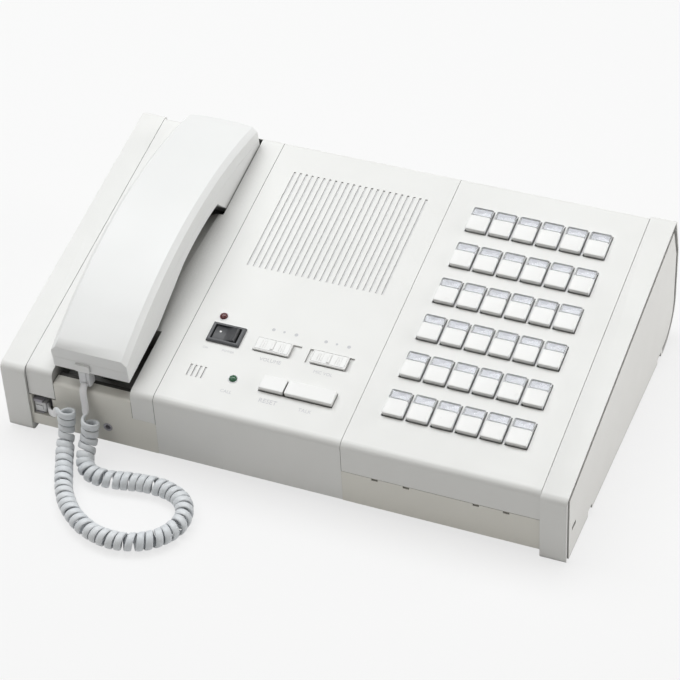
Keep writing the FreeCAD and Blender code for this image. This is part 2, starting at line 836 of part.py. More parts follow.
def parting_form():
    """Everything below the handset's parting line."""
    x = handset_centre - handset_width
    front_z, crown_z, back_z = parting_heights
    front = handset_front - wall
    back = handset_end + wall
    low = -2 * bay_depth
    crown = Vector(x, (front + back) / 2 - parting_forward, crown_z)
    top = arc_between(Vector(x, front, front_z), crown, Vector(x, back, back_z))
    rear_corners = [Vector(x, back, back_z), Vector(x, back, low)]
    corners = rear_corners + [Vector(x, front, low), Vector(x, front, front_z)]
    edges = [top] + [Part.LineSegment(a, b).toShape() for a, b in zip(corners, corners[1:])]
    return Part.Face(Part.Wire(edges)).extrude(Vector(2 * handset_width, 0, 0))


def long_top_edges(shape):
    """The two long edges of the handset's arched back."""
    found = []
    for edge in shape.Edges:
        middle = edge.valueAt((edge.FirstParameter + edge.LastParameter) / 2)
        if edge.Length > handset_length * 0.8 and middle.z > parting_heights[1]:
            found.append(edge)
    return found


def handset_solid():
    outer = handset_block(0.0)
    outer = outer.makeChamfer(handset_edge_bevel, long_top_edges(outer))
    outer = outer.cut(handset_rear_form())
    rear_wall = block(
        0,
        case_width,
        handset_end - handset_rear_bow - handset_wall,
        handset_end,
        -handset_length,
        handset_length,
    )
    return outer.cut(handset_block(handset_wall).cut(rear_wall))


def plug_room(clearance):
    """The handset plug, or with a clearance the room around it."""
    thickness, width = plug_size[1:]
    x = handset_centre + handset_plug_place[0]
    y = handset_front + handset_plug_place[1]
    top = front_height + handset_plug_top
    return block(
        x - width / 2 - clearance,
        x + width / 2 + clearance,
        y - thickness / 2 - clearance,
        y + thickness / 2 + clearance,
        top - handset_plug_length,
        top + clearance,
    )


def socket_housing():
    """Solid lump inside the handset's front end that holds the socket, in the case frame."""
    room = plug_room(socket_wall)
    low = front_height + mouth_block_low[0] + handset_wall
    return room.cut(block(0, case_width, -case_depth, case_depth, 0, low))


def handset_shell():
    return one_solid(on_panel(handset_solid().cut(parting_form())))


def handset_cover():
    lower = handset_solid().common(parting_form())
    floor = mouth_block_low[0] + handset_wall
    mouth_outer = peg(handset_centre, mouth_place, mouth_radius, -mouth_reach, floor)
    inner_low = handset_wall - mouth_reach
    inner_radius = mouth_radius - handset_wall
    mouth_inner = peg(handset_centre, mouth_place, inner_radius, inner_low, floor + handset_wall)
    lower = lower.fuse(mouth_outer).cut(mouth_inner)
    ear_middle = (handset_centre, handset_end - ear_length / 2)
    mouth_middle = (handset_centre, mouth_place)
    cut = 2 * handset_wall
    ear = slot_row(3, ear_slot_pitch, ear_middle, *ear_slot, -ear_depth - cut, -ear_depth + cut)
    mouth = slot_row(2, ear_slot_pitch, mouth_middle, *mouth_slot, -mouth_reach - cut, -mouth_reach + cut)
    lower = on_panel(lower.cut(ear + mouth))
    below_parting = parting_heights[0] - rest_gap
    front_wall = on_panel(block(0, case_width, 0, case_depth, 0, below_parting))
    housing = socket_housing().common(front_wall)
    return one_solid(lower.fuse(housing).cut(plug_room(plug_clearance)))


def handset_plug():
    return plug_room(0.0)


def hook_plunger():
    top = -(ear_depth + rest_gap)
    low = -(bay_depth + wall + plunger_travel + rest_gap)
    rod = peg(bay_centre, plunger_place, plunger_radius, low, top)
    half = plunger_radius + wall / 2
    y = plunger_place
    stop = block(bay_centre - half, bay_centre + half, y - half, y + half, low - plunger_stop, low)
    return one_solid(on_panel(rod.fuse(stop)))


# ---------------------------------------------------------------- controls
def switch_bezel():
    width, depth = rocker_bezel
    x, y = rocker_centre
    body_width, body_depth = rocker_body_size()
    frame = centred_block(x, y, width, depth, 0, bezel_height)
    frame = frame.makeChamfer(bezel_chamfer, top_edges(frame, bezel_height))
    body = centred_block(x, y, body_width, body_depth, -switch_body_depth, bezel_height / 2)
    room_width = body_width - 2 * switch_body_wall[0]
    room_depth = body_depth - 2 * switch_body_wall[1]
    room = centred_block(x, y, room_width, room_depth, -switch_well_depth, 2 * bezel_height)
    return one_solid(on_panel(frame.fuse(body).cut(room)))


def power_rocker():
    """Rocker with a shallow V on top, standing with its right half up."""
    x, y = rocker_centre
    body_width, body_depth = rocker_body_size()
    radius = body_width / 2 - switch_body_wall[0] - rocker_play[0]
    half_y = body_depth / 2 - switch_body_wall[1] - rocker_play[1]
    pivot = -rocker_pivot_drop
    drum = Part.makeCylinder(radius, 2 * half_y, Vector(x, y - half_y, pivot), Vector(0, 1, 0))
    rise = radius * math.tan(math.radians(rocker_tilt))
    roof = front_profile(
        [
            (x - radius, -rocker_depth),
            (x - radius, rocker_middle + rise),
            (x, rocker_middle),
            (x + radius, rocker_middle + rise),
            (x + radius, -rocker_depth),
        ],
        y - half_y,
        y + half_y,
    )
    rocker = drum.common(roof)
    rocker.rotate(Vector(x, y, pivot), Vector(0, 1, 0), -rocker_tilt)
    return one_solid(on_panel(rocker))


def front_profile(points, y0, y1):
    """Solid with the outline points (x, z), running from y0 to y1."""
    corners = [Vector(x, y0, z) for x, z in points]
    return Part.Face(Part.makePolygon(corners + corners[:1])).extrude(Vector(0, y1 - y0, 0))


def lamp(place):
    """A round lamp on its stand-off."""
    return on_panel(prism(*place, lamp_radius, lamp_sides, -board_drop, lamp_height))


def slide_knob(place):
    width, depth = knob_size
    x, y = place
    low = -wall / 2 + rest_gap
    plate = centred_block(x, y, width, depth, low, knob_height)
    plate = plate.makeChamfer(knob_chamfer, top_edges(plate, knob_height))
    ridge_top = knob_height + knob_ridge_rise
    ridge = centred_block(x, y, 2 * knob_ridge, depth - 2 * knob_ridge_inset, 0, ridge_top)
    stem = centred_block(x, y, stem_side, stem_side, -stem_length, 0)
    return one_solid(on_panel(plate.fuse([ridge, stem])))


def key_low():
    """Lower end of every key, a travel above its switch."""
    return -(switch_top - key_travel - rest_gap)


def push_key(x, y, width, depth, height):
    cap = block(x, x + width, y, y + depth, key_low(), height)
    return cap.makeChamfer(key_chamfer, top_edges(cap, height))


def reset_key():
    key = push_key(action_keys_left, action_keys_front, reset_key_width, action_key_depth, action_key_height)
    return one_solid(on_panel(key))


def talk_key():
    left = action_keys_left + reset_key_width + 2 * key_gap
    key = push_key(left, action_keys_front, talk_key_width, action_key_depth, action_key_height)
    return one_solid(on_panel(key))


def station_key(x, y):
    """Cap and window of one station key, as two solids."""
    window_low = window_height - window_thickness
    low = key_low()
    cap = block(x, x + key_width, y, y + key_cap_depth, low, key_height)
    cap = cap.makeChamfer(key_chamfer, top_edges(cap, key_height))
    ledge = block(x, x + key_width, y + key_cap_depth, y + key_depth, low, window_low)
    cap = cap.fuse(ledge).removeSplitter()
    window = block(x, x + key_width, y + key_cap_depth, y + key_depth, window_low, window_height)
    return Part.makeCompound([on_panel(cap.Solids[0]), on_panel(window)])


def speaker():
    """Round speaker, many-sided throughout: rim, basket and magnet."""
    x, y = grille_centre
    top = -(wall + rest_gap)
    bottom = top - speaker_depth
    rim_width, rim_thickness = speaker_rim
    rim_low = top - rim_thickness
    magnet_top = bottom + magnet_height
    basket = prism(x, y, speaker_radius - rim_width, basket_sides, magnet_top, rim_low)
    rim = prism(x, y, speaker_radius, rim_sides, rim_low, top)
    magnet = prism(x, y, magnet_radius, rim_sides, bottom, magnet_top)
    return one_solid(on_panel(rim.fuse([basket, magnet])))


# ---------------------------------------------------------------- plug and cord
def base_plug():
    length, thickness, width = plug_size
    right, back, up = base_plug_place
    x0 = cheek_inner_left + right
    y0 = back
    z0 = pocket_floor + up
    return block(x0, x0 + length, y0, y0 + thickness, z0, z0 + width)


def tube(route, radius, sides, name):
    """Tube along straight runs joined by tangent arcs, each as large as its two runs allow."""
    points = [Vector(*point) for point in route]
    section = ring(points[0], (points[1] - points[0]).normalize(), radius, sides)
    faces = [Part.Face(section)]
    radii = []
    length = 0.0
    last = points[0]
    for before, corner, after in zip(points, points[1:], points[2:]):
        run_in = (corner - before).normalize()
        run_out = (after - corner).normalize()
        turn = run_in.getAngle(run_out)
        reach = 0.45 * min((corner - before).Length, (after - corner).Length)
        bend = reach / math.tan(turn / 2)
        start = corner - run_in * reach
        inward = (run_out - run_in).normalize()
        centre = corner + inward * (bend / math.cos(turn / 2))
        axis = run_in.cross(run_out)
        faces += section.extrude(start - last).Faces
        section.translate(start - last)
        faces += section.revolve(centre, axis, math.degrees(turn)).Faces
        section.rotate(centre, axis, math.degrees(turn))
        radii.append(round(bend, 1))
        length += (start - last).Length + bend * turn
        last = corner + run_out * reach
    faces += section.extrude(points[-1] - last).Faces
    section.translate(points[-1] - last)
    faces.append(Part.Face(section))
    length += (points[-1] - last).Length
    skin = Part.Shell(faces)
    skin.sewShape()
    solid = Part.Solid(skin)
    if solid.Volume < 0:
        solid.reverse()
    share = solid.Volume / (faces[0].Area * length)
    print(name, "length", round(length, 1), "volume share", round(share, 4), "radii", radii)
    return solid


coil_route = [
    (47.6, -9.0, 33.0),
    (47.2, -10.0, 21.0),
    (48.8, -19.5, 9.8),
    (55.5, -35.0, 6.4),
    (64.0, -52.5, 6.3),
    (79.0, -68.5, 6.3),
    (99.0, -78.0, 6.3),
    (119.5, -77.5, 6.3),
    (136.5, -67.5, 6.3),
    (144.0, -50.0, 6.3),
    (137.5, -33.5, 6.3),
    (121.0, -26.8, 6.3),
    (102.0, -27.8, 6.3),
    (86.0, -31.5, 6.3),
    (73.5, -31.5, 6.3),
    (65.5, -26.0, 6.6),
    (62.6, -17.5, 10.5),
    (63.2, -11.0, 18.5),
    (64.0, -9.5, 29.5),
]


def beyond(route_end, route_next, distance):
    """The point that far outside the end of a route, in line with its end run."""
    end = Vector(*route_end)
    return tuple(end + (end - Vector(*route_next)).normalize() * distance)


def coil_cord():
    return tube(coil_route, coil_radius, coil_sides, "coil_cord")


def base_lead():
    """Flat lead from the base plug up to the first turn of the coil."""
    plug = base_plug().BoundBox
    start = (plug.XMax, (plug.YMin + plug.YMax) / 2, (plug.ZMin + plug.ZMax) / 2)
    x, y, z = start
    route = [
        start,
        (x + 3.1, y, z),
        (x + 4.9, y - 3.4, z + 0.8),
        (x + 5.6, y - 8.6, z + 3.0),
        (33.8, -7.8, 27.6),
        (36.2, -9.2, 33.6),
        (38.8, -9.4, 38.4),
        (43.0, -9.2, 40.6),
        beyond(coil_route[0], coil_route[1], 5.4),
        coil_route[0],
    ]
    return tube(route, lead_radius, lead_sides, "base_lead")


def handset_lead():
    """Flat lead from the last turn of the coil over the lip to the handset plug."""
    plug = handset_plug().BoundBox
    end = ((plug.XMin + plug.XMax) / 2, plug.YMin, plug.ZMin + handset_lead_height)
    x, y, z = end
    route = [
        coil_route[-1],
        beyond(coil_route[-1], coil_route[-2], 4.5),
        (x + 4.2, y - 8.0, z - 11.2),
        (x + 1.0, y - 6.8, z - 7.8),
        (x - 0.2, y - 5.7, z - 3.8),
        (x, y - 3.6, z),
        end,
    ]
    return tube(route, lead_radius, lead_sides, "handset_lead")


# ---------------------------------------------------------------- export
def export(name, shape):
    """Writes one sub-part, with the origin at the middle of the footprint on the table."""
    placed = shape.copy()
    placed.translate(Vector(-case_width / 2, -depth_middle, 0))
    placed.exportStep(os.path.join("parts", name + ".step"))


def main():
    os.makedirs("parts", exist_ok=True)
    parts = {
        "base_tray": base_tray(),
        "left_cheek": cheek(-1),
        "right_cheek": cheek(1),
        "side_plates": Part.makeCompound([side_plate(-1), side_plate(1)]),
        "cradle_cover": cradle_cover(),
        "speaker_cover": speaker_cover(),
        "key_cover": key_cover(),
        "main_board": main_board(),
        "speaker": speaker(),
        "switch_bezel": switch_bezel(),
        "power_rocker": power_rocker(),
        "status_lamps": Part.makeCompound([lamp(red_lamp_place), lamp(green_lamp_place)]),
        "left_slide_knob": slide_knob(left_knob_place),
        "right_slide_knob": slide_knob(right_knob_place),
        "reset_key": reset_key(),
        "talk_key": talk_key(),
        "hook_plunger": hook_plunger(),
        "handset_shell": handset_shell(),
        "handset_cover": handset_cover(),
        "handset_plug": handset_plug(),
        "base_plug": base_plug(),
        "base_lead": base_lead(),
        "coil_cord": coil_cord(),
        "handset_lead": handset_lead(),
    }
    for number, (x, y) in enumerate(station_key_places(), start=1):
        parts["station_key_%02d" % number] = station_key(x, y)
    for name, shape in parts.items():
        export(name, shape)


main()
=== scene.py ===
import math
from collections import Counter

import bmesh
import bpy
import numpy as np
from mathutils import Matrix, Quaternion, Vector


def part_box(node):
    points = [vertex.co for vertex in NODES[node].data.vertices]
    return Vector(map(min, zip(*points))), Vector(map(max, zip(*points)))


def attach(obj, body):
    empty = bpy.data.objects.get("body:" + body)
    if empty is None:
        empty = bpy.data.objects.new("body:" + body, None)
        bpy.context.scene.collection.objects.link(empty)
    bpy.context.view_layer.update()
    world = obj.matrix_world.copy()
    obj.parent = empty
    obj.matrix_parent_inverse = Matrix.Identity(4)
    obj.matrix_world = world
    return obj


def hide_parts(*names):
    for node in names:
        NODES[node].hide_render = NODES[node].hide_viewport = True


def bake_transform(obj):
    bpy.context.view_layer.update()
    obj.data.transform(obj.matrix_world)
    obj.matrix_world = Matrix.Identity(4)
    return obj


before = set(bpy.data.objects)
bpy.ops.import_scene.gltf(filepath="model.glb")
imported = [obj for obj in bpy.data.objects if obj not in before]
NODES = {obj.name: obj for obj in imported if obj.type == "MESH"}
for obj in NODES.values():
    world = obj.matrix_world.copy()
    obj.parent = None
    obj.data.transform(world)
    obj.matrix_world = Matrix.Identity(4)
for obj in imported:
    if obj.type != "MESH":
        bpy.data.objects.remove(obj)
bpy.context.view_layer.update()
scene = bpy.context.scene

# The two frames that the drawing uses, in millimetres: the case's, with its front left corner on the table,
# and the sloping panel's, with X along the front edge, Y up the slope and Z out of the panel.
CASE_LEFT, CASE_FRONT = -0.185, -0.112
PANEL_HEIGHT = 0.0523
PANEL_SLOPE = Matrix.Rotation(math.radians(11.1), 4, "X")
MILLIMETRES = Matrix.Scale(0.001, 4)
CASE = Matrix.Translation((CASE_LEFT, CASE_FRONT, 0.0)) @ MILLIMETRES
PANEL = Matrix.Translation((CASE_LEFT, CASE_FRONT, PANEL_HEIGHT)) @ PANEL_SLOPE @ MILLIMETRES


# ---------------------------------------------------------------- materials
def node_in(tree, kind, inputs=None, **settings):
    """Adds a node. Each input is a value, or a socket to link."""
    node = tree.nodes.new(kind)
    for name, value in settings.items():
        setattr(node, name, value)
    for name, value in (inputs or {}).items():
        if isinstance(value, bpy.types.NodeSocket):
            tree.links.new(value, node.inputs[name])
        else:
            node.inputs[name].default_value = value
    return node


def coordinates(tree):
    return node_in(tree, "ShaderNodeTexCoord").outputs["Object"]


def noise(tree, scale, detail=2.0, roughness=0.5):
    inputs = {"Vector": coordinates(tree), "Scale": scale, "Detail": detail, "Roughness": roughness}
    return node_in(tree, "ShaderNodeTexNoise", inputs).outputs["Fac"]


def ranged(tree, value, source, target):
    """Maps the value from the source range to the target range, and clamps it there."""
    ends = dict(zip(("From Min", "From Max", "To Min", "To Max"), source + target))
    return node_in(tree, "ShaderNodeMapRange", {"Value": value, **ends}).outputs["Result"]


def mixed(tree, factor, first, second):
    """Mixes two colours, each given as a value or as a socket."""
    mix = node_in(tree, "ShaderNodeMix", data_type="RGBA")
    tree.links.new(factor, mix.inputs["Factor"])
    for socket, colour in ((mix.inputs["A"], first), (mix.inputs["B"], second)):
        if isinstance(colour, bpy.types.NodeSocket):
            tree.links.new(colour, socket)
        else:
            socket.default_value = (*colour, 1.0)
    return mix.outputs["Result"]


def vector_math(tree, operation, *values):
    return node_in(tree, "ShaderNodeVectorMath", dict(enumerate(values)), operation=operation).outputs[0]


def larger(tree, first, second):
    return node_in(tree, "ShaderNodeMath", {0: first, 1: second}, operation="MAXIMUM").outputs[0]


NOISE_RANGE = (0.3, 0.7)  # nearly all values of a noise lie in it
# Colour of the painted shade in corners, recesses and gaps.
SHADE_COLOUR = (0.035, 0.034, 0.03)
SHADE_RANGE = (0.08, 0.72)  # share of open sky, from full painted shade to none
PATCH_EDGE = 0.0004  # metres over which a patch of painted shade fades
GLOSS_SCALE = 55.0
GLOSS_SPREAD = 0.05
GRAIN_STRENGTH = 0.35


def shaded_in_corners(tree, colour, reach, amount):
    """Paints shade on the colour in corners, recesses and gaps that see little open sky within that reach in
    metres.
    """
    open_sky = node_in(tree, "ShaderNodeAmbientOcclusion", {"Distance": reach}, samples=8).outputs["AO"]
    return mixed(tree, ranged(tree, open_sky, SHADE_RANGE, (1.0 - amount, 1.0)), SHADE_COLOUR, colour)


def inside(tree, middle, half):
    """1 inside the box that has this middle and these half sides, in metres, 0 outside."""
    distance = vector_math(tree, "ABSOLUTE", vector_math(tree, "SUBTRACT", coordinates(tree), middle))
    past = node_in(tree, "ShaderNodeSeparateXYZ", {0: vector_math(tree, "SUBTRACT", distance, half)}).outputs
    farthest = larger(tree, larger(tree, past[0], past[1]), past[2])
    return ranged(tree, farthest, (-PATCH_EDGE, 0.0), (1.0, 0.0))


def plastic(
    name, colour, other, roughness, grain=900.0, depth=0.02, blotch=14.0, corner_shade=0.0, reach=0.012, shade_box=None,
    **sockets
):
    """Moulded plastic: two near colours in soft patches, an eroded grain, uneven gloss and painted shade in
    corners.

    grain and blotch are the noise scales of the grain and the patches, and depth is the grain's in millimetres.
    corner_shade is the amount of painted shade in corners, within reach in metres, and shade_box is a box (middle,
    half sides) painted fully in that shade.
    """
    material = bpy.data.materials.new(name)
    material.use_nodes = True
    tree = material.node_tree
    shader = tree.nodes["Principled BSDF"]
    patch = ranged(tree, noise(tree, blotch, 3.0), NOISE_RANGE, (0.0, 1.0))
    base = mixed(tree, patch, colour, other)
    if corner_shade:
        base = shaded_in_corners(tree, base, reach, corner_shade)
    # The whole box takes the shade colour: painted shade.
    if shade_box:
        base = mixed(tree, inside(tree, *shade_box), base, SHADE_COLOUR)
    tree.links.new(base, shader.inputs["Base Color"])
    gloss = (roughness - GLOSS_SPREAD, roughness + GLOSS_SPREAD)
    tree.links.new(ranged(tree, noise(tree, GLOSS_SCALE, 3.0), NOISE_RANGE, gloss), shader.inputs["Roughness"])
    fine = noise(tree, grain, 2.0, 0.6)
    bump = node_in(tree, "ShaderNodeBump", {"Height": fine, "Strength": GRAIN_STRENGTH, "Distance": depth * 0.001})
    tree.links.new(bump.outputs["Normal"], shader.inputs["Normal"])
    for socket, value in sockets.items():
        shader.inputs[socket.replace("_", " ")].default_value = value
    return material


# In the plastics below, the darkening in corners, recesses and gaps is painted shade.
MOULDING = ((0.80, 0.80, 0.785), (0.775, 0.775, 0.76), 0.46)
CASE_PLASTIC = plastic("case_moulding", *MOULDING, corner_shade=0.85)
COVER_PLASTIC = plastic("cover_moulding", *MOULDING, corner_shade=0.2, reach=0.006)
# The top of the wall in front of the handset's bay, which the photo shows black under the handset.
# This box is painted fully in the shade colour, for the shade under the handset's end.
BAY_FRONT = ((-0.1231, -0.1016, 0.036), (0.0267, 0.0026, 0.0098))
CRADLE_PLASTIC = plastic("cradle_moulding", *MOULDING, corner_shade=0.95, reach=0.03, shade_box=BAY_FRONT)
TRAY_PLASTIC = plastic("tray_moulding", (0.785, 0.77, 0.715), (0.76, 0.745, 0.69), 0.46, corner_shade=0.65)
PLATE_PLASTIC = plastic("plate_moulding", (0.79, 0.785, 0.765), (0.765, 0.76, 0.74), 0.5, corner_shade=0.85, reach=0.006)
HANDSET_PLASTIC = plastic(
    "handset_moulding", (0.81, 0.815, 0.81), (0.79, 0.795, 0.79), 0.36, grain=1300.0, depth=0.01, corner_shade=0.85
)
KEY_PLASTIC = plastic(
    "key_moulding", (0.84, 0.84, 0.83), (0.82, 0.82, 0.81), 0.32, grain=1600.0, depth=0.006, corner_shade=0.9, reach=0.005
)
KEY_EDGE = plastic(
    "key_edge", (0.84, 0.85, 0.87), (0.80, 0.81, 0.83), 0.25, grain=1600.0, depth=0.004,
    Subsurface_Weight=0.9, Subsurface_Scale=0.004, Subsurface_Radius=(1.0, 1.0, 1.0)
)
# Darker copy of the key's edge for side faces that face the front: painted shade.
KEY_FRONT_SHADE = plastic(
    "key_front", (0.68, 0.68, 0.67), (0.62, 0.62, 0.62), 0.3, grain=1600.0, depth=0.004, corner_shade=0.5, reach=0.004,
    Subsurface_Weight=0.3, Subsurface_Scale=0.003, Subsurface_Radius=(1.0, 1.0, 1.0)
)
BEZEL_PLASTIC = plastic(
    "bezel_moulding", (0.055, 0.057, 0.062), (0.075, 0.077, 0.082), 0.42, grain=1500.0, depth=0.01
)
BLACK_PLASTIC = plastic(
    "switch_moulding", (0.018, 0.019, 0.022), (0.026, 0.027, 0.03), 0.35, grain=1500.0, depth=0.01, corner_shade=0.9,
    reach=0.006
)
WHITE_MARK = plastic("white_mark", (0.80, 0.80, 0.80), (0.75, 0.75, 0.75), 0.5, grain=2500.0, depth=0.004)
CORD_PLASTIC = plastic(
    "cord_sheath", (0.67, 0.70, 0.73), (0.72, 0.74, 0.76), 0.42, grain=700.0, depth=0.02, blotch=40.0, corner_shade=0.7,
    reach=0.003
)
LEAD_PLASTIC = plastic(
    "lead_sheath", (0.83, 0.83, 0.84), (0.79, 0.79, 0.81), 0.4, grain=700.0, depth=0.02, blotch=40.0
)
CARD = plastic("name_card", (0.72, 0.73, 0.78), (0.78, 0.79, 0.83), 0.6, grain=2500.0, depth=0.01)
INK = plastic("label_ink", (0.55, 0.55, 0.57), (0.61, 0.61, 0.63), 0.6, grain=2500.0, depth=0.004)
BOARD = plastic("board_lacquer", (0.03, 0.12, 0.06), (0.04, 0.15, 0.07), 0.35)
JACK_PLASTIC = plastic("jack_moulding", (0.40, 0.39, 0.43), (0.35, 0.34, 0.38), 0.4, grain=1500.0, depth=0.01)
SPEAKER_METAL = plastic("speaker_paint", (0.05, 0.05, 0.05), (0.07, 0.07, 0.07), 0.5)
CLOTH = plastic(
    "grille_cloth", (0.74, 0.74, 0.74), (0.66, 0.66, 0.66), 0.9, grain=1800.0, depth=0.25, blotch=300.0
)
CLEAR_COLOURS = ((0.93, 0.94, 0.95), (0.90, 0.91, 0.93))
CLEAR = plastic(
    "clear_moulding", *CLEAR_COLOURS, 0.12, grain=600.0, depth=0.004, Transmission_Weight=0.85, IOR=1.49
)
PLUG_PLASTIC = plastic(
    "plug_moulding", *CLEAR_COLOURS, 0.15, grain=600.0, depth=0.004, Transmission_Weight=0.3, IOR=1.49
)
RED_LAMP = plastic(
    "red_lamp", (0.16, 0.02, 0.02), (0.12, 0.015, 0.018), 0.12, depth=0.002, Transmission_Weight=0.35, IOR=1.5
)
GREEN_LAMP = plastic(
    "green_lamp", (0.02, 0.16, 0.06), (0.015, 0.12, 0.05), 0.12, depth=0.002, Transmission_Weight=0.35, IOR=1.5
)
CONTACT = plastic("contact_metal", (0.80, 0.62, 0.30), (0.74, 0.56, 0.26), 0.3, Metallic=1.0)
STEEL = plastic("screw_steel", (0.50, 0.50, 0.50), (0.42, 0.42, 0.43), 0.35, Metallic=1.0)

NODE_FINISH = {
    "cradle_cover": CRADLE_PLASTIC,
    "speaker_cover": COVER_PLASTIC,
    "key_cover": COVER_PLASTIC,
    "base_tray": TRAY_PLASTIC,
    "side_plates": PLATE_PLASTIC,
    "handset_shell": HANDSET_PLASTIC,
    "handset_cover": HANDSET_PLASTIC,
    "switch_bezel": BEZEL_PLASTIC,
    "hook_plunger": BLACK_PLASTIC,
    "main_board": BOARD,
    "speaker": SPEAKER_METAL,
}
# Widths of the softened edges in millimetres. 0 leaves them sharp.
PLAIN_BEVEL = 0.3
BEVELS = {"handset_shell": 1.4, "handset_cover": 0.5, "base_tray": 0.15, "main_board": 0.0, "speaker": 0.0}
BEVEL_ANGLE = math.radians(28)
WELD_DISTANCE = 1e-6
for name, node in NODES.items():
    node.data.materials.clear()
    node.data.materials.append(NODE_FINISH.get(name, CASE_PLASTIC))
    width = BEVELS.get(name, PLAIN_BEVEL)
    if width:
        weld = node.modifiers.new("weld", "WELD")
        weld.merge_threshold = WELD_DISTANCE
        bevel = node.modifiers.new("bevel", "BEVEL")
        bevel.width = width * 0.001
        bevel.segments = 3
        bevel.limit_method = "ANGLE"
        bevel.angle_limit = BEVEL_ANGLE
        bevel.harden_normals = True

# ---------------------------------------------------------------- mesh helpers
SHARP_ANGLE = math.radians(38)
LEAST_RADIUS = 0.04


def linked(name, bm, materials, smooth=True):
    """Turns a bmesh in metres into an object of the scene."""
    bmesh.ops.recalc_face_normals(bm, faces=bm.faces)
    for face in bm.faces:
        face.smooth = smooth
    mesh = bpy.data.meshes.new(name)
    bm.to_mesh(mesh)
    bm.free()
    for material in materials:
        mesh.materials.append(material)
    piece = bpy.data.objects.new(name, mesh)
    scene.collection.objects.link(piece)
    return piece


def finished(name, bm, placing, materials, body, replaced=(), smooth=True):
    """Turns a bmesh in millimetres into a piece that rides on a body."""
    bm.transform(placing)
    piece = linked(name, bm, materials, smooth)
    if smooth:
        piece.data.set_sharp_from_angle(angle=SHARP_ANGLE)
    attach(piece, body)
    if replaced:
        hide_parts(*replaced)
    return piece


def joined(bm, rings, finishes):
    """Joins each ring of vertices to the next by a belt of faces, each belt with its own finish."""
    for lower, upper, finish in zip(rings, rings[1:], finishes):
        for index in range(len(lower)):
            after = (index + 1) % len(lower)
            bm.faces.new((lower[index], lower[after], upper[after], upper[index])).material_index = finish


def closed(bm, rings, first, last):
    """Closes the first ring and the last by a face each, with these finishes."""
    bm.faces.new(rings[0][::-1]).material_index = first
    bm.faces.new(rings[-1]).material_index = last


def turned_rings(bm, centre, outline, sides):
    """Rings of vertices round the Z axis, one for each (radius, z) point."""
    angles = [2 * math.pi * index / sides for index in range(sides)]
    rings = []
    for radius, z in outline:
        places = [(centre[0] + radius * math.cos(a), centre[1] + radius * math.sin(a), z) for a in angles]
        rings.append([bm.verts.new(place) for place in places])
    return rings


def add_turned(bm, centre, outline, sides=24, finish=0):
    """Adds a body turned round the Z axis from (radius, z) points, closed at both ends."""
    rings = turned_rings(bm, centre, outline, sides)
    joined(bm, rings, [finish] * len(rings))
    closed(bm, rings, finish, finish)


def add_ring(bm, centre, rim, sides):
    """Adds a ring turned round the Z axis from the (radius, z) points of its closed section."""
    rings = turned_rings(bm, centre, rim, sides)
    joined(bm, rings + rings[:1], [0] * len(rings))


def add_box(bm, low, high, radius=0.0, segments=2, finish=0):
    """Adds a block between two corners, with rounded edges."""
    made = bmesh.ops.create_cube(bm, size=1.0)["verts"]
    low, high = Vector(low), Vector(high)
    for vert in made:
        vert.co = Vector([low[i] + (vert.co[i] + 0.5) * (high[i] - low[i]) for i in range(3)])
    faces = {face for vert in made for face in vert.link_faces}
    for face in faces:
        face.material_index = finish
    if radius:
        edges = {edge for face in faces for edge in face.edges}
        bmesh.ops.bevel(bm, geom=list(edges), offset=radius, segments=segments, affect="EDGES", profile=0.5)


def rounded_outline(box, radius, inset, steps):
    """Corners of a rectangle (x0, y0, x1, y1) with rounded corners, drawn in by inset."""
    x0, y0, x1, y1 = box
    turn = max(radius - inset, LEAST_RADIUS)
    reach = inset + turn
    left, front, right, back = x0 + reach, y0 + reach, x1 - reach, y1 - reach
    points = []
    for quarter, (x, y) in enumerate(((right, front), (right, back), (left, back), (left, front))):
        for step in range(steps + 1):
            angle = math.radians(90.0 * (quarter - 1 + step / steps))
            points.append((x + turn * math.cos(angle), y + turn * math.sin(angle)))
    return points


def add_stack(bm, box, radius, levels, steps=4, finishes=None):
    """Adds a body of rounded rectangles one above the other, from (inset, z) levels, closed at both ends.

    finishes has one entry for the bottom, one for each belt between two levels and one for the top.
    """
    finishes = finishes or [0] * (len(levels) + 1)
    rings = []
    for inset, z in levels:
        rings.append([bm.verts.new((x, y, z)) for x, y in rounded_outline(box, radius, inset, steps)])
    joined(bm, rings, finishes[1:])
    closed(bm, rings, finishes[0], finishes[-1])


# ---------------------------------------------------------------- cord
def spline_points(name, points, resolution):
    """Points along the NURBS curve that has these control points, in metres."""
    curve = bpy.data.curves.new(name, "CURVE")
    curve.dimensions = "3D"
    curve.resolution_u = resolution
    spline = curve.splines.new("NURBS")
    spline.points.add(len(points) - 1)
    for point, place in zip(spline.points, points):
        point.co = (*place, 1.0)
    spline.order_u = 3
    spline.use_endpoint_u = True
    holder = bpy.data.objects.new(name, curve)
    mesh = bpy.data.meshes.new_from_object(holder)
    line = np.array([vert.co for vert in mesh.vertices])
    bpy.data.meshes.remove(mesh)
    bpy.data.objects.remove(holder)
    bpy.data.curves.remove(curve)
    return line


def in_metres(points):
    return [CASE @ Vector(point) for point in points]


def length_of(points):
    return float(np.linalg.norm(np.diff(points, axis=0), axis=1).sum())


def read_off(at, places, rows):
    """The rows that belong to these places along a line, read off at other places."""
    return np.stack([np.interp(at, places, rows[:, axis]) for axis in range(3)], 1)


def evenly(line, count):
    """Points at even distances along the line, and how far along it they lie."""
    run = np.concatenate(([0.0], np.cumsum(np.linalg.norm(np.diff(line, axis=0), axis=1))))
    places = np.linspace(0.0, run[-1], count)
    return read_off(places, run, line), places


def directions(line):
    along = np.gradient(line, axis=0)
    return along / np.linalg.norm(along, axis=1)[:, None]


def carried(along, first):
    """A side direction at each point, carried along the line without twist."""
    sides = []
    side = np.array(first, float)
    for direction in along:
        side = side - direction * side.dot(direction)
        side = side / np.linalg.norm(side)
        sides.append(side)
    return np.array(sides)


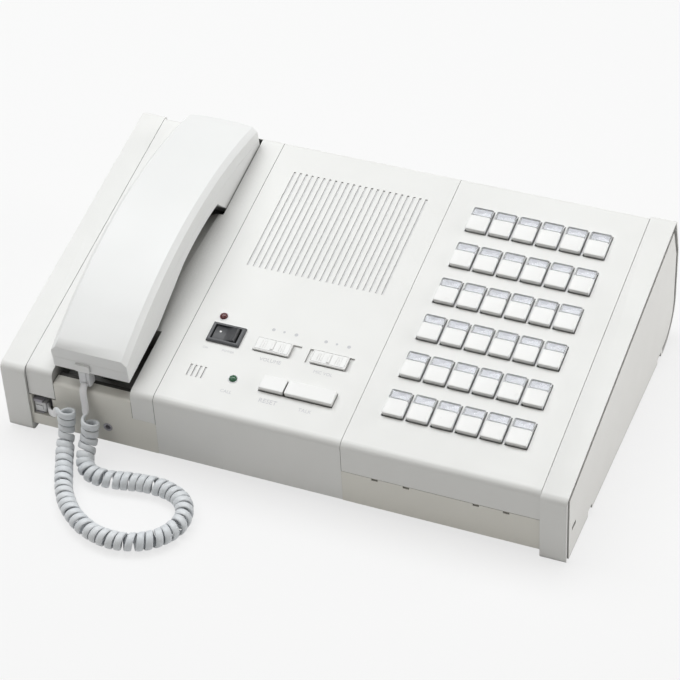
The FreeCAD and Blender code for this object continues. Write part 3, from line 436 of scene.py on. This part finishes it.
# The axis of the curly part in the case's frame, from the lead of the jack to the lead of the handset.
COIL_ROUTE = (
    (47.6, -9.0, 33.0),
    (47.2, -10.0, 21.0),
    (48.8, -19.5, 9.8),
    (55.5, -35.0, 6.4),
    (64.0, -52.5, 6.3),
    (79.0, -68.5, 6.3),
    (99.0, -78.0, 6.3),
    (119.5, -77.5, 6.3),
    (136.5, -67.5, 6.3),
    (144.0, -50.0, 6.3),
    (137.5, -33.5, 6.3),
    (121.0, -26.8, 6.3),
    (102.0, -27.8, 6.3),
    (86.0, -31.5, 6.3),
    (73.5, -31.5, 6.3),
    (65.5, -26.0, 6.6),
    (62.6, -17.5, 10.5),
    (63.2, -11.0, 18.5),
    (64.0, -9.5, 29.5),
)
COIL_SAMPLES = 1600
FIRST_SIDE = (-0.71, -0.71, 0.0)
LAST_SIDE = np.array((-1.0, 0.0, 0.0))
# In metres: from a turn's middle to the cord's middle, from one turn to the next, and the flat cord's size.
TURN_RADIUS = 0.0048
TURN_PITCH = 0.0056
CORD_WIDTH = 0.0046
CORD_THICKNESS = 0.0021
CORD_SIDES = 10
STEPS = 24  # points in a turn
TURN_FILL = 0.93  # the cord's greatest width as a share of the distance to the next turn


def helix():
    """Points of the curly part, the axis's direction at each, and how wide the cord may be there."""
    axis = spline_points("coil_axis", in_metres(COIL_ROUTE), 24)
    length = length_of(axis)
    axis, places = evenly(axis, COIL_SAMPLES)
    along = directions(axis)
    side = carried(along, FIRST_SIDE)
    other = np.cross(along, side)
    # The number of turns isn't whole: the last one ends on its side, where the handset's lead begins.
    last = math.atan2(LAST_SIDE.dot(other[-1]), LAST_SIDE.dot(side[-1]))
    turns = round(length / TURN_PITCH) - last / (2 * math.pi)
    count = int(turns * STEPS)
    at = np.linspace(0.0, length, count)
    axis, along, side, other = [read_off(at, places, rows) for rows in (axis, along, side, other)]
    # The turns crowd and spread a little, as in a used cord, but not in the last 20 mm at each end.
    uneven = 0.10 * np.sin(at * 173.0) + 0.06 * np.sin(at * 411.0 + 1.3)
    fade = np.clip(np.minimum(at, length - at) / 0.02, 0.0, 1.0)
    angle = -2 * math.pi * (turns * at / length + uneven * fade)
    # They also vary a little in width, and those some 14 mm after the jack's lead are narrower.
    waist = 1.0 - 0.12 * np.exp(-(((at - 0.014) / 0.006) ** 2))
    radius = TURN_RADIUS * waist * (1.0 + 0.02 * np.sin(at * 290.0))
    out = side * np.cos(angle)[:, None] + other * np.sin(angle)[:, None]
    points = axis + out * radius[:, None]
    room = np.full(count, 1.0)
    gap = np.linalg.norm(points[STEPS:] - points[:-STEPS], axis=1)
    room[STEPS:] = gap
    room[:-STEPS] = np.minimum(room[:-STEPS], gap)
    return points, along, np.minimum(CORD_WIDTH, TURN_FILL * room)


def ribbon(name, points, across, widths, first, last):
    """Flat cord with rounded edges along the points, with its width along across.

    It has the lead's white sheath from the step first to the step last.
    """
    along = directions(points)
    across = across - along * (across * along).sum(1)[:, None]
    across = across / np.linalg.norm(across, axis=1)[:, None]
    normal = np.cross(along, across)
    bm = bmesh.new()
    rings = []
    for place, wide, flat, width in zip(points, across, normal, widths):
        ring = []
        for index in range(CORD_SIDES):
            # Powers below 1 turn the oval section into a flat one with round edges.
            angle = 2 * math.pi * (index + 0.5) / CORD_SIDES
            x = math.copysign(abs(math.cos(angle)) ** 0.55, math.cos(angle)) * width / 2
            y = math.copysign(abs(math.sin(angle)) ** 0.75, math.sin(angle)) * CORD_THICKNESS / 2
            ring.append(bm.verts.new(place + wide * x + flat * y))
        rings.append(ring)
    joined(bm, rings, [int(first <= step < last) for step in range(len(rings) - 1)])
    closed(bm, rings, 0, 0)
    return linked(name, bm, (CORD_PLASTIC, LEAD_PLASTIC))


LEAD_STEPS = 60
LEAD_WIDTH = 0.0044


def lead(points):
    return evenly(spline_points("lead_line", points, 12), LEAD_STEPS)[0]


turns, axes, widths = helix()
entry = directions(turns)[0]
leaving = directions(turns)[-1]
base_route = in_metres(
    (
        (26.2, 4.6, 19.4),
        (27.6, 3.4, 19.6),
        (29.4, 0.6, 20.6),
        (31.6, -3.0, 22.6),
        (35.2, -6.8, 25.4),
        (39.6, -10.2, 28.6),
    )
)
base_line = lead(base_route + [Vector(turns[0] - entry * 0.0030), Vector(turns[0] - entry * 0.0003)])
lift_route = in_metres(
    (
        (59.2, -5.6, 33.6),
        (59.2, -5.0, 38.0),
        (58.9, -4.8, 42.4),
        (58.3, -3.9, 46.6),
        (57.6, -1.6, 49.2),
        (57.4, 1.4, 49.6),
    )
)
lift_line = lead([Vector(turns[-1] + leaving * 0.0003), Vector(turns[-1] + leaving * 0.0022)] + lift_route)

# The cord is two pieces, because its last turns stretch when the handset is lifted. They meet where the cord has
# left the table, on the side of a turn that is away from the photo's view.
LEAVES_TABLE = 0.0125
HIDDEN_SIDE = (-0.3, 0.7, -0.65)
half = len(turns) // 2
foot = half + int(np.argmax(turns[half:, 2] > LEAVES_TABLE))
foot += int(np.argmax(turns[foot : foot + STEPS].dot(HIDDEN_SIDE)))

# The jack's lead stands on edge and takes the coil's width over its last third.
down = np.array((0.0, 0.0, -1.0))
fade = np.clip((np.arange(LEAD_STEPS) - 40) / 20.0, 0.0, 1.0)
case_points = np.concatenate((base_line, turns[: foot + 1]))
case_across = np.concatenate((np.tile(down, (LEAD_STEPS, 1)), axes[: foot + 1]))
case_widths = np.concatenate((LEAD_WIDTH + (widths[0] - LEAD_WIDTH) * fade, widths[: foot + 1]))
case_cord = ribbon("coil_cord_turns", case_points, case_across, case_widths, 0, LEAD_STEPS - 6)
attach(case_cord, "case")
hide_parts("coil_cord", "base_lead")

# The handset's lead turns to lie flat along the case's width over its first third.
sideways = np.array((1.0, 0.0, 0.0))
fade = np.clip(np.arange(LEAD_STEPS) / 22.0, 0.0, 1.0)[:, None]
lift_points = np.concatenate((turns[foot:], lift_line))
lift_across = np.concatenate((axes[foot:], axes[-1] * (1 - fade) + sideways * fade))
lift_widths = np.concatenate((widths[foot:], widths[-1] + (CORD_WIDTH - widths[-1]) * fade[:, 0]))
lift_cord = ribbon(
    "handset_lead_turns", lift_points, lift_across, lift_widths, len(turns) - foot + 8, len(lift_points)
)
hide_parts("handset_lead")
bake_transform(lift_cord)

# ---------------------------------------------------------------- station keys
KEY_LOW = -7.2
FIRST_KEY = (244.1, 27.3)
KEY_PITCH = (15.6, 30.207)
KEY_SIZE = (13.6, 19.4)
CAP_DEPTH = 12.0
KEY_FINISHES = (KEY_PLASTIC, KEY_EDGE, CLEAR, CARD, KEY_FRONT_SHADE)
TOP, EDGE, WINDOW, LABEL, SHADED_FRONT = range(5)


def station_key(x, y, number):
    """White cap in front, behind it a name card under a clear window, all with the edge of a clear moulding."""
    bm = bmesh.new()
    width, depth = KEY_SIZE
    base = [(0.45, KEY_LOW), (0.45, -0.3), (0.0, 0.5), (0.0, 0.7)]
    add_stack(bm, (x, y + CAP_DEPTH - 1.6, x + width, y + depth), 1.2, base, 3, [EDGE] * 4 + [TOP])
    cap = [(0.5, KEY_LOW), (0.5, -0.2), (0.0, 1.0), (0.0, 2.6), (0.14, 2.95)]
    cap += [(0.42, 3.17), (0.95, 3.2), (2.2, 3.08), (4.0, 3.0)]
    add_stack(bm, (x, y, x + width, y + CAP_DEPTH), 1.5, cap, 4, [EDGE] * 5 + [TOP] * 5)
    card = (x + 1.3, y + CAP_DEPTH + 1.9, x + width - 1.3, y + depth - 1.2)
    add_stack(bm, card, 0.3, [(0, 0.6), (0, 0.9)], 2, [LABEL] * 3)
    window = (x + 0.1, y + CAP_DEPTH - 0.25, x + width - 0.1, y + depth - 0.05)
    clear = [(0, 0.72), (0.0, 1.9), (0.15, 2.2), (0.4, 2.3)]
    add_stack(bm, window, 1.2, clear, 3, [WINDOW, EDGE, WINDOW, WINDOW, WINDOW])
    bm.normal_update()
    # Side faces turned to the front take the darker finish: painted shade.
    for face in bm.faces:
        if face.material_index == EDGE and face.normal.y < -0.6:
            face.material_index = SHADED_FRONT
    name = "station_key_%02d" % number
    finished(name + "_cap", bm, PANEL, KEY_FINISHES, "key_%02d" % number, (name,))


for row in range(6):
    for column in range(6):
        place = [FIRST_KEY[axis] + KEY_PITCH[axis] * step for axis, step in enumerate((column, row))]
        station_key(*place, 1 + column + 6 * row)


# ---------------------------------------------------------------- wide keys and slide knobs
def action_key(name, left, right, body):
    """Long push key with a soft edge and a slightly hollow top."""
    bm = bmesh.new()
    levels = [(0.5, KEY_LOW), (0.5, -0.4), (0.1, 0.9), (0.0, 2.8), (0.15, 3.15)]
    levels += [(0.45, 3.37), (0.9, 3.4), (2.4, 3.3), (4.2, 3.25)]
    add_stack(bm, (left, 24.0, right, 34.6), 0.9, levels)
    finished(name + "_cap", bm, PANEL, (KEY_PLASTIC,), body, (name,))


def slide_knob(name, x, body):
    """Slide switch knob: a plate with a fine rim, a ridge in its middle, grip ribs beside it, the stem below."""
    bm = bmesh.new()
    y = 57.4
    plate = [(0.3, -0.95), (0.1, 0.3), (0.0, 1.1), (0.12, 1.5), (0.35, 1.66)]
    plate += [(0.62, 1.66), (0.74, 1.42), (1.0, 1.42), (1.12, 1.66), (1.5, 1.7)]
    add_stack(bm, (x - 11.8, y - 5.15, x + 11.8, y + 5.15), 0.8, plate)
    ridge = [(0.0, 1.6), (0.0, 1.9), (0.25, 2.35), (0.6, 2.5)]
    add_stack(bm, (x - 1.1, y - 3.6, x + 1.1, y + 3.6), 0.5, ridge, 3)
    rib = [(0, 1.6), (0.05, 1.85), (0.2, 1.95)]
    for side in (-1, 1):
        for step in range(3):
            middle = x + side * (4.6 + 1.5 * step)
            add_stack(bm, (middle - 0.3, y - 3.2, middle + 0.3, y + 3.2), 0.25, rib, 2)
    add_box(bm, (x - 2, y - 2, -9), (x + 2, y + 2, -0.9), 0.2, 1)
    finished(name + "_cap", bm, PANEL, (KEY_PLASTIC,), body, (name,))


action_key("reset_key", 165.2, 181.3, "reset")
action_key("talk_key", 182.0, 213.4, "talk")
slide_knob("left_slide_knob", 161.5, "left_slide")
slide_knob("right_slide_knob", 199.0, "right_slide")

# ---------------------------------------------------------------- rocker
ROCKER_AXIS = Vector((129.5, 58.4, -2.0))
ROCKER_TILT = math.radians(-10.0)  # the pose at rest, with its right half up
ROCKER_RADIUS = 8.45
ROCKER_HALF = 5.3
# The inset and y of each outline along the axis.
ROCKER_LEVELS = ((0.45, ROCKER_HALF), (0.0, ROCKER_HALF - 0.3), (0.0, 0.3 - ROCKER_HALF), (0.45, -ROCKER_HALF))
# The round side from the V's outer end down to the foot, and the V's face, all as (x, z) on the right half.
ROUND_START = (7.284, 4.284)
ROUND_STOP = (6.81, -5.0)
CREST = [(6.6, 4.16), (3.3, 3.58), (0.6, 3.12)]
CREST_LOW = (0.0, 3.06)


def rocker_outline():
    """Side outline of the rocker about its axis: a round body under a shallow V."""
    start, stop = [math.atan2(z, x) for x, z in (ROUND_START, ROUND_STOP)]
    right = [(ROCKER_RADIUS * math.cos(a), ROCKER_RADIUS * math.sin(a)) for a in np.linspace(start, stop, 12)]
    left = [(-x, z) for x, z in reversed(right)]
    return right + left + [(-x, z) for x, z in CREST] + [CREST_LOW] + CREST[::-1]


bm = bmesh.new()
outline = rocker_outline()
rings = []
for inset, y in ROCKER_LEVELS:
    shrink = 1.0 - inset / ROCKER_RADIUS
    rings.append([bm.verts.new((x * shrink, y, z * shrink)) for x, z in outline])
joined(bm, rings, [0] * len(rings))
closed(bm, rings, 0, 0)
bm.transform(Matrix.Rotation(ROCKER_TILT, 4, "Y"))
# The white dot on the face. It is added after the tilt, upright on the panel.
add_turned(bm, (-4.2, 1.0), [(0.75, 2.98), (0.75, 3.09), (0.6, 3.13)], 16, 1)
finished(
    "power_rocker_cap", bm, PANEL @ Matrix.Translation(ROCKER_AXIS), (BLACK_PLASTIC, WHITE_MARK), "rocker",
    ("power_rocker",)
)

# ---------------------------------------------------------------- plugs
PLUG_HALF_X, PLUG_HALF_Y = 3.8, 3.28
CONTACT_PITCH = 1.27
Z_TO_MINUS_X = Matrix(((0, 0, -1, 0), (0, 1, 0, 0), (1, 0, 0, 0), (0, 0, 0, 1)))


def modular_plug(name, top, cable_end, placing, body, replaced):
    """Clear plug along +Z from z 0, with its latch, its contacts and the cable's end inside."""
    bm = bmesh.new()
    block = (-PLUG_HALF_X, -PLUG_HALF_Y, PLUG_HALF_X, PLUG_HALF_Y)
    add_stack(bm, block, 0.5, [(0.3, 0), (0, 0.3), (0, top - 0.3), (0.3, top)], 2)
    latch = (-1.6, -PLUG_HALF_Y - 0.75, 1.6, -PLUG_HALF_Y - 0.05)
    add_stack(bm, latch, 0.2, [(0.1, top * 0.22), (0, top * 0.3), (0, top - 0.9), (0.15, top - 0.6)], 2)
    add_stack(bm, (-2.3, -1.7, 2.3, 1.7), 0.7, [(0.5, -0.02), (0.0, 0.3), (0.0, cable_end)], 3, [1] * 4)
    for index in range(4):
        x = (index - 1.5) * CONTACT_PITCH
        low, high = (x - 0.3, PLUG_HALF_Y - 1.9, top - 2.6), (x + 0.3, PLUG_HALF_Y + 0.03, top - 0.5)
        add_box(bm, low, high, 0.05, 1, 2)
    return finished(name, bm, placing, (PLUG_PLASTIC, LEAD_PLASTIC, CONTACT), body, replaced)


low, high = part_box("base_plug")
middle = (low + high) / 2
seat = Matrix.Translation((high.x, middle.y, middle.z)) @ MILLIMETRES @ Z_TO_MINUS_X
base_plug = modular_plug("base_plug_clear", 7.6, 5.2, seat, "case", ("base_plug",))
low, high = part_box("handset_plug")
middle = (low + high) / 2
seat = Matrix.Translation((middle.x, middle.y, low.z)) @ MILLIMETRES
handset_plug = modular_plug("handset_plug_clear", 16.5, 9.0, seat, "handset", ("handset_plug",))

# ---------------------------------------------------------------- lamps and eyelet
LAMP_PLACES = ((122.1, 71.9), (146.7, 27.8))
LAMP_SIDES = 32
DOME = [(2.45, -3.2), (2.45, 0.2)]
DOME += [(2.4 * math.cos(math.radians(a)), 0.3 + 1.5 * math.sin(math.radians(a))) for a in range(10, 90, 10)]
DOME += [(0.15, 1.8)]
LAMP_RIM = [(3.25, 0.005), (3.2, 0.25), (3.0, 0.38), (2.75, 0.3), (2.62, 0.1), (2.5, 0.01)]
bm = bmesh.new()
for finish, centre in enumerate(LAMP_PLACES):
    add_turned(bm, centre, DOME, LAMP_SIDES, finish)
finished("status_lamp_domes", bm, PANEL, (RED_LAMP, GREEN_LAMP), "case", ("status_lamps",))

bm = bmesh.new()
for centre in LAMP_PLACES:
    add_ring(bm, centre, LAMP_RIM, LAMP_SIDES)
finished("status_lamp_rings", bm, PANEL, (LEAD_PLASTIC,), "case")

EYELET_RIM = [(3.0, 0.02), (2.95, 0.4), (2.6, 0.6), (2.15, 0.5), (1.7, 0.1)]
EYELET_RIM += [(1.6, -2.0), (2.15, -2.0), (2.15, 0.0)]
front_hole = CASE @ Matrix.Translation((70.3, 0.0, 18.2)) @ Matrix.Rotation(math.radians(90.0), 4, "X")
bm = bmesh.new()
add_ring(bm, (0.0, 0.0), EYELET_RIM, 28)
finished("front_hole_eyelet", bm, front_hole, (JACK_PLASTIC,), "case")

# ---------------------------------------------------------------- printed marks
# Each word with its left and right end and its base line.
WORDS = (
    ("VOLUME", 156.4, 170.6, 45.9),
    ("MIC VOL", 192.4, 204.8, 45.9),
    ("ON", 118.6, 121.8, 45.4),
    ("POWER", 131.4, 139.4, 45.9),
    ("CALL", 142.4, 149.8, 16.6),
    ("RESET", 168.2, 179.8, 16.0),
    ("TALK", 194.0, 202.6, 16.0),
)
# The dots above a slide knob: from its left dot, the radius and the sides.
DOTS = ((0.0, 1.15, 16), (7.2, 0.8, 14), (15.2, 1.2, 16))
DOTS_LEFT = (156.5, 191.5)
DOTS_Y = 70.5
INK_LOW, INK_THICKNESS = 0.02, 0.04


def add_word(bm, word, left, right, y):
    """Adds a word as thin raised ink that fills the width from left to right."""
    curve = bpy.data.curves.new("words", "FONT")
    curve.body = word
    curve.resolution_u = 3
    holder = bpy.data.objects.new("words", curve)
    mesh = bpy.data.meshes.new_from_object(holder)
    xs = [vert.co.x for vert in mesh.vertices]
    scale = (right - left) / (max(xs) - min(xs))
    mesh.transform(Matrix.Translation((left - min(xs) * scale, y, INK_LOW)) @ Matrix.Scale(scale, 4))
    low = [bm.verts.new(vert.co) for vert in mesh.vertices]
    high = [bm.verts.new(vert.co + Vector((0.0, 0.0, INK_THICKNESS))) for vert in mesh.vertices]
    for polygon in mesh.polygons:
        bm.faces.new([high[index] for index in polygon.vertices])
        bm.faces.new([low[index] for index in reversed(polygon.vertices)])
    # The sides stand on the edges that belong to one face only.
    uses = Counter(ends for polygon in mesh.polygons for ends in polygon.edge_keys)
    for one, two in [ends for ends, count in uses.items() if count == 1]:
        bm.faces.new((low[one], low[two], high[two], high[one]))
    bpy.data.meshes.remove(mesh)
    bpy.data.objects.remove(holder)
    bpy.data.curves.remove(curve)


bm = bmesh.new()
for word in WORDS:
    add_word(bm, *word)
for left in DOTS_LEFT:
    for along, radius, sides in DOTS:
        outline = [(radius, INK_LOW), (radius, INK_LOW + INK_THICKNESS)]
        add_turned(bm, (left + along, DOTS_Y), outline, sides)
finished("printed_marks", bm, PANEL, (INK,), "case", smooth=False)

# ---------------------------------------------------------------- cloth behind the slots
# Of the grille and of the microphone: how many slots, the middle one's x and the pitch, and of each strip half
# its width and its two corners' y and z.
SLOTS = (
    (23, 166.1, 4.155, 0.7, (115.4, -2.2), (196.6, -0.6)),
    (4, 122.3, 3.2, 0.6, (22.9, -2.6), (31.7, -0.7)),
)
bm = bmesh.new()
for count, middle, pitch, half, low, high in SLOTS:
    for index in range(count):
        x = middle + (index - (count - 1) / 2) * pitch
        add_box(bm, (x - half, *low), (x + half, *high))
finished("grille_cloth", bm, PANEL, (CLOTH,), "case", smooth=False)

# ---------------------------------------------------------------- jack and screws
bm = bmesh.new()
add_box(bm, (18.15, 9.0, 14.65), (27.5, 15.4, 26.5), 0.4)
add_box(bm, (18.15, 1.0, 23.6), (24.5, 9.4, 26.0), 0.3)
add_box(bm, (18.15, 1.4, 14.65), (24.5, 9.4, 15.4), 0.2)
finished("line_jack", bm, CASE, (JACK_PLASTIC,), "case")

SCREW_PLACES = ((30.5, 27.0), (30.5, 203.0), (339.5, 27.0), (339.5, 203.0))
SCREW_HEAD = [(1.2, 8.4), (1.2, 8.1), (2.75, 8.0), (2.75, 7.4), (2.45, 6.95)]
SCREW_HEAD += [(1.9, 6.7), (0.9, 6.62), (0.75, 7.3), (0.15, 7.35)]
CROSS_LONG, CROSS_SHORT = 1.7, 0.24
for number, (x, y) in enumerate(SCREW_PLACES, start=1):
    bm = bmesh.new()
    add_turned(bm, (x, y), SCREW_HEAD)
    # The cross is a thin black inlay: painted shade standing for the cross recess.
    for half_x, half_y in ((CROSS_LONG, CROSS_SHORT), (CROSS_SHORT, CROSS_LONG)):
        add_box(bm, (x - half_x, y - half_y, 6.55), (x + half_x, y + half_y, 6.72), finish=1)
    finished("case_screw_%d" % number, bm, CASE, (STEEL, BLACK_PLASTIC), "case")

# ---------------------------------------------------------------- floor, light, camera
FLOOR_GREY = (0.75, 0.75, 0.75, 1.0)
FLOOR_WHITENESS = 0.72  # share of white in what the camera sees of the floor
SURROUND = (1.0, 0.96, 0.88, 1.0)
SURROUND_STRENGTH = 0.21


def seen_directly(tree):
    """1 where the camera, a mirror or a clear piece looks straight at a surface, 0 for the light that it sheds."""
    path = node_in(tree, "ShaderNodeLightPath").outputs
    camera_or_mirror = larger(tree, path["Is Camera Ray"], path["Is Glossy Ray"])
    return larger(tree, camera_or_mirror, path["Is Transmission Ray"])


def white_floor():
    """Pale floor that looks nearly white and still shows a soft shadow."""
    material = bpy.data.materials.new("floor")
    material.use_nodes = True
    tree = material.node_tree
    shader = tree.nodes["Principled BSDF"]
    shader.inputs["Base Color"].default_value = FLOOR_GREY
    shader.inputs["Roughness"].default_value = 0.9
    white = node_in(tree, "ShaderNodeEmission", {"Strength": 1.0}).outputs[0]
    share = node_in(tree, "ShaderNodeMath", {0: seen_directly(tree), 1: FLOOR_WHITENESS}, operation="MULTIPLY")
    blend = node_in(tree, "ShaderNodeMixShader", {0: share.outputs[0], 1: shader.outputs[0], 2: white})
    tree.links.new(blend.outputs[0], tree.nodes["Material Output"].inputs["Surface"])
    return material


bpy.ops.mesh.primitive_plane_add(size=8)
floor = bpy.context.object
floor.name = "floor"
floor.data.materials.append(white_floor())

# White to look at, and a weak warm light for what it shines on.
world = bpy.data.worlds.new("world")
scene.world = world
world.use_nodes = True
tree = world.node_tree
around = tree.nodes["Background"]
around.inputs["Color"].default_value = SURROUND
around.inputs["Strength"].default_value = SURROUND_STRENGTH
white = node_in(tree, "ShaderNodeBackground", {"Strength": 1.0}).outputs[0]
blend = node_in(tree, "ShaderNodeMixShader", {0: seen_directly(tree), 1: around.outputs[0], 2: white})
tree.links.new(blend.outputs[0], tree.nodes["World Output"].inputs["Surface"])

WHITE = (1.0, 1.0, 1.0)
COOL = (0.965, 0.985, 1.0)


def area_light(name, place, size, power, colour):
    """Square lamp at the place, aimed at the middle of the table."""
    light = bpy.data.lights.new(name, "AREA")
    light.size = size
    light.energy = power
    light.color = colour
    lamp = bpy.data.objects.new(name, light)
    scene.collection.objects.link(lamp)
    lamp.location = place
    lamp.rotation_euler = (-Vector(place)).to_track_quat("-Z", "Y").to_euler()


area_light("key_light", (-0.9, 0.2, 1.5), 1.2, 13.2, COOL)
area_light("side_light", (1.45, 0.5, 0.55), 1.0, 8.8, WHITE)
area_light("top_light", (0.1, 0.7, 2.2), 1.2, 22.5, COOL)
area_light("front_light", (-0.7, -1.1, 1.4), 0.9, 3.2, WHITE)

# The view was solved from the case's corners in the photo.
EYE = Vector((0.48764, -1.09312, 1.06640))
TARGET = Vector((0.01114, -0.03223, 0.06))
ROLL = Quaternion((0, 0, 1), math.radians(-3.4117))
LENS = 131.63
camera = bpy.data.objects.new("camera", bpy.data.cameras.new("camera"))
scene.collection.objects.link(camera)
camera.location = EYE
camera.rotation_mode = "QUATERNION"
camera.rotation_quaternion = (TARGET - EYE).to_track_quat("-Z", "Y") @ ROLL
camera.data.lens = LENS
camera.data.sensor_width = 36
scene.camera = camera
scene.view_settings.view_transform = "Standard"
